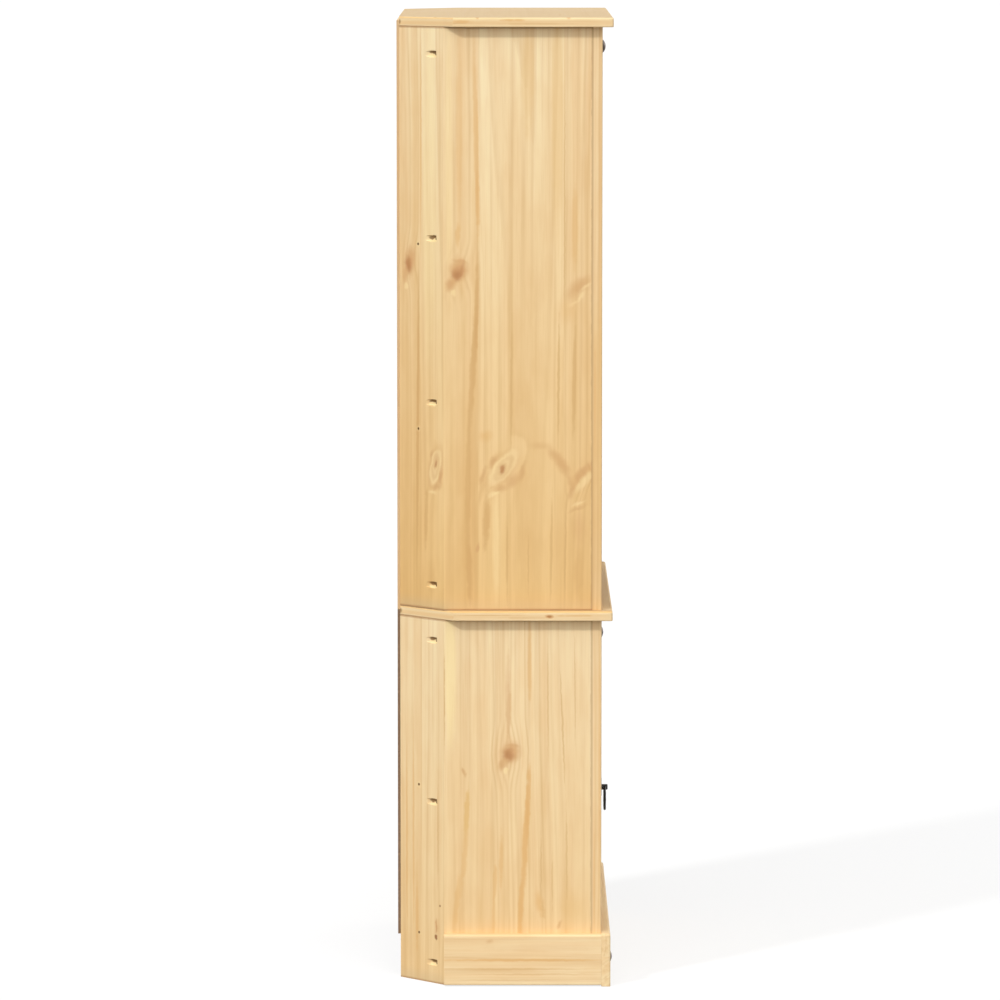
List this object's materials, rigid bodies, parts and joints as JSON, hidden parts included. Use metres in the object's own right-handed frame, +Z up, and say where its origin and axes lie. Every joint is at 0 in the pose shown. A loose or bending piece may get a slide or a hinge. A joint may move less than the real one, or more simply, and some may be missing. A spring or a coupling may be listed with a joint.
{
  "type": "trastero cabinet",
  "caption": "Tall two-tier pine cabinet with canted rear corners: open shelves over a framed and panelled door with an iron ring pull.",
  "frame": {"origin": "middle of the base, on the floor", "axes": "+Z up, -Y the cabinet's front, +X its right as you face it"},
  "size_m": [0.8, 0.4005, 1.8],
  "materials": {
    "pine": "clear satin lacquer over knotty pine",
    "pine_back": "thin pine-coloured back panel",
    "hardboard": "dark brown hardboard",
    "beech": "fluted beech dowel",
    "iron": "dark brown hammered iron",
    "black_iron": "matt black painted iron",
    "zinc_steel": "zinc-plated steel",
    "brown_plastic": "moulded brown plastic"
  },
  "bodies": {
    "cabinet": {"back_nails": "zinc_steel", "bottom_board": "pine", "carcass_dowels": "beech", "catch_magnet": "brown_plastic", "catch_screws": "zinc_steel", "front_plinth": "pine", "header_rail": "pine", "header_studs": "iron", "hinge_frame_leaves": "black_iron", "hinge_frame_screws": "black_iron", "hinge_pins": "black_iron", "lower_back_panel": "hardboard", "lower_bottom_rail": "pine", "lower_corner_left": "pine", "lower_corner_right": "pine", "lower_shelf": "pine", "lower_side_left": "pine", "lower_side_right": "pine", "lower_stile_left": "pine", "lower_stile_right": "pine", "lower_top_rail": "pine", "plinth_studs": "iron", "pocket_screws": "zinc_steel", "rail_studs": "iron", "shelf_brads": "zinc_steel", "side_plinth_left": "pine", "side_plinth_right": "pine", "top_board": "pine", "upper_back_panel": "pine_back", "upper_corner_left": "pine", "upper_corner_right": "pine", "upper_shelf_high": "pine", "upper_shelf_low": "pine", "upper_side_left": "pine", "upper_side_right": "pine", "upper_stile_left": "pine", "upper_stile_right": "pine", "waist_board": "pine"},
    "door": {"door_stile_left": "pine", "door_stile_right": "pine", "door_top_rail": "pine", "door_bottom_rail": "pine", "door_muntin": "pine", "door_panel_left": "pine", "door_panel_right": "pine", "pull_rosette": "black_iron", "pull_post": "black_iron", "pull_nut": "black_iron", "hinge_door_leaves": "black_iron", "hinge_door_screws": "black_iron", "catch_strike": "zinc_steel", "strike_screw": "zinc_steel"},
    "ring": {"pull_ring": "black_iron"}
  },
  "joints": [
    {"name": "door_hinge", "type": "hinge", "parent": "cabinet", "child": "door", "pos_m": [0.317, -0.1834, 0.367], "axis": [0, 0, 1], "range_deg": [0, 170]},
    {"name": "ring_swing", "type": "hinge", "parent": "door", "child": "ring", "pos_m": [-0.284, -0.1876, 0.35766], "axis": [-1, 0, 0], "range_deg": [-5, 175]}
  ]
}
